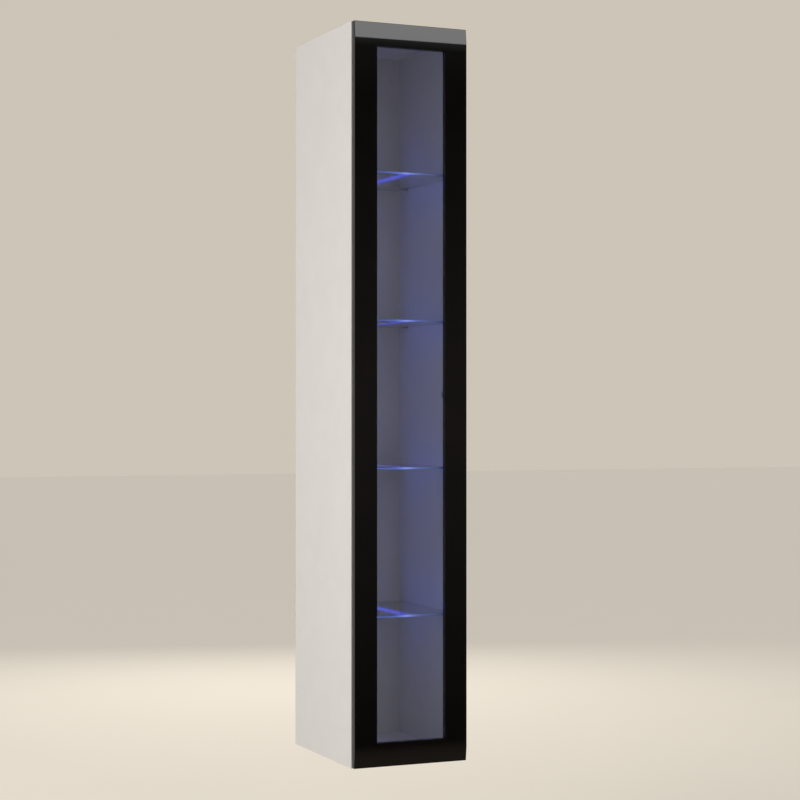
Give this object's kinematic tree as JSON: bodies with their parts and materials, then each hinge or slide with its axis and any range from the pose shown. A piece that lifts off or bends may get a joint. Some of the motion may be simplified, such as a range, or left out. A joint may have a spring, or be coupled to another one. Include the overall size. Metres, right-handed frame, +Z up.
{
  "type": "hanging wall cabinet",
  "caption": "Tall slim hanging wall cabinet with a white body, a gloss black framed glass door on concealed hinges, lit glass shelves, a push latch and adjustable wall hangers.",
  "frame": {"origin": "centre of the bottom of the closed cabinet's bounding box", "axes": "+X to the right seen from the front, +Y from the door into the wall, +Z up"},
  "size_m": [0.3, 0.4, 1.8],
  "materials": {
    "white_board": "matt white melamine on chipboard",
    "white_back": "matt white faced hardboard",
    "black_gloss": "high-gloss black lacquer on fibreboard",
    "pane_glass": "clear, polished edges",
    "shelf_glass": "clear, ground edges",
    "clip_chrome": "satin chrome",
    "blue_light": "translucent blue lens",
    "beech": "fluted, untreated",
    "white_plastic": "fine texture",
    "grey_plastic": "fine texture",
    "clear_rubber": "soft, translucent",
    "foam_tape": "closed-cell foam",
    "zinc": "zinc plated",
    "nickel": "nickel plated",
    "screw_steel": "zinc plated"
  },
  "bodies": {
    "cabinet": {"side_panel_left": "white_board", "side_panel_right": "white_board", "bottom_panel": "white_board", "top_panel": "white_board", "back_panel": "white_back", "glass_shelf_1": "shelf_glass", "glass_shelf_2": "shelf_glass", "glass_shelf_3": "shelf_glass", "glass_shelf_4": "shelf_glass", "light_clip_1": "clip_chrome", "light_clip_2": "clip_chrome", "light_clip_3": "clip_chrome", "light_clip_4": "clip_chrome", "light_modules": "blue_light", "dowels": "beech", "cam_caps": "white_plastic", "access_covers": "white_plastic", "cable_grommets": "white_plastic", "light_distributor": "white_plastic", "hanger_housing_left": "white_plastic", "hanger_housing_right": "white_plastic", "latch_housing": "grey_plastic", "shelf_pads": "clear_rubber", "distributor_pad": "foam_tape", "cam_locks": "zinc", "cam_bolts": "zinc", "shelf_pins": "zinc", "hinge_plates": "zinc", "wall_rail": "zinc", "hinge_arms": "nickel", "hinge_arm_pivots": "nickel", "clip_screws": "screw_steel", "hinge_arm_screws": "screw_steel", "hinge_plate_screws": "screw_steel", "latch_spring": "screw_steel", "latch_screws": "screw_steel", "hanger_screws": "screw_steel"},
    "door": {"door_frame": "black_gloss", "door_pane": "pane_glass", "pane_tape": "foam_tape", "pane_clips": "nickel", "pane_clip_screws": "screw_steel", "strike_plate": "nickel", "strike_screws": "screw_steel", "door_bumpers": "clear_rubber", "hinge_cups": "nickel", "hinge_cup_screws": "screw_steel", "hinge_cup_pivots": "nickel"},
    "hinge_outer_links": {"hinge_outer_links": "nickel"},
    "hinge_inner_links": {"hinge_inner_links": "nickel"},
    "latch_plunger": {"latch_plunger": "grey_plastic", "latch_magnet": "nickel"},
    "hanger_hook_left": {"hanger_hook_left": "zinc"},
    "hanger_adjuster_left": {"hanger_adjuster_left": "zinc"},
    "hanger_hook_right": {"hanger_hook_right": "zinc"},
    "hanger_adjuster_right": {"hanger_adjuster_right": "zinc"}
  },
  "joints": [
    {"name": "hinge_outer_link_turn", "type": "hinge", "parent": "cabinet", "child": "hinge_outer_links", "pos_m": [-0.109, -0.162, 0.9], "axis": [0, 0, 1], "range_deg": [0, 20]},
    {"name": "hinge_inner_link_turn", "type": "hinge", "parent": "cabinet", "child": "hinge_inner_links", "pos_m": [-0.1233, -0.1888, 0.9], "axis": [0, 0, 1], "range_deg": [0, 25.7]},
    {"name": "door_swing", "type": "hinge", "parent": "hinge_outer_links", "child": "door", "pos_m": [-0.1394, -0.184, 0.9], "axis": [0, 0, -1], "range_deg": [0, 110]},
    {"name": "latch_push", "type": "slide", "parent": "cabinet", "child": "latch_plunger", "axis": [0, 1, 0], "range_m": [0, 0.002], "stiffness_N_per_m": 1500},
    {"name": "hanger_lift_left", "type": "slide", "parent": "cabinet", "child": "hanger_hook_left", "axis": [0, 0, 1], "range_m": [0, 0.007]},
    {"name": "hanger_turn_left", "type": "hinge", "parent": "cabinet", "child": "hanger_adjuster_left", "pos_m": [-0.1115, 0.187, 1.728], "axis": [0, 1, 0], "range_deg": [0, 1261]},
    {"name": "hanger_lift_right", "type": "slide", "parent": "cabinet", "child": "hanger_hook_right", "axis": [0, 0, 1], "range_m": [0, 0.007]},
    {"name": "hanger_turn_right", "type": "hinge", "parent": "cabinet", "child": "hanger_adjuster_right", "pos_m": [0.1115, 0.187, 1.728], "axis": [0, 1, 0], "range_deg": [0, 1261]}
  ],
  "couplings": [
    {"joint": "hinge_outer_link_turn", "follows": "door_swing", "ratio": 0.17355},
    {"joint": "hinge_inner_link_turn", "follows": "door_swing", "ratio": 0.22314},
    {"joint": "hanger_turn_left", "follows": "hanger_lift_left", "rad_per_m": 3141.6},
    {"joint": "hanger_turn_right", "follows": "hanger_lift_right", "rad_per_m": 3141.6}
  ]
}
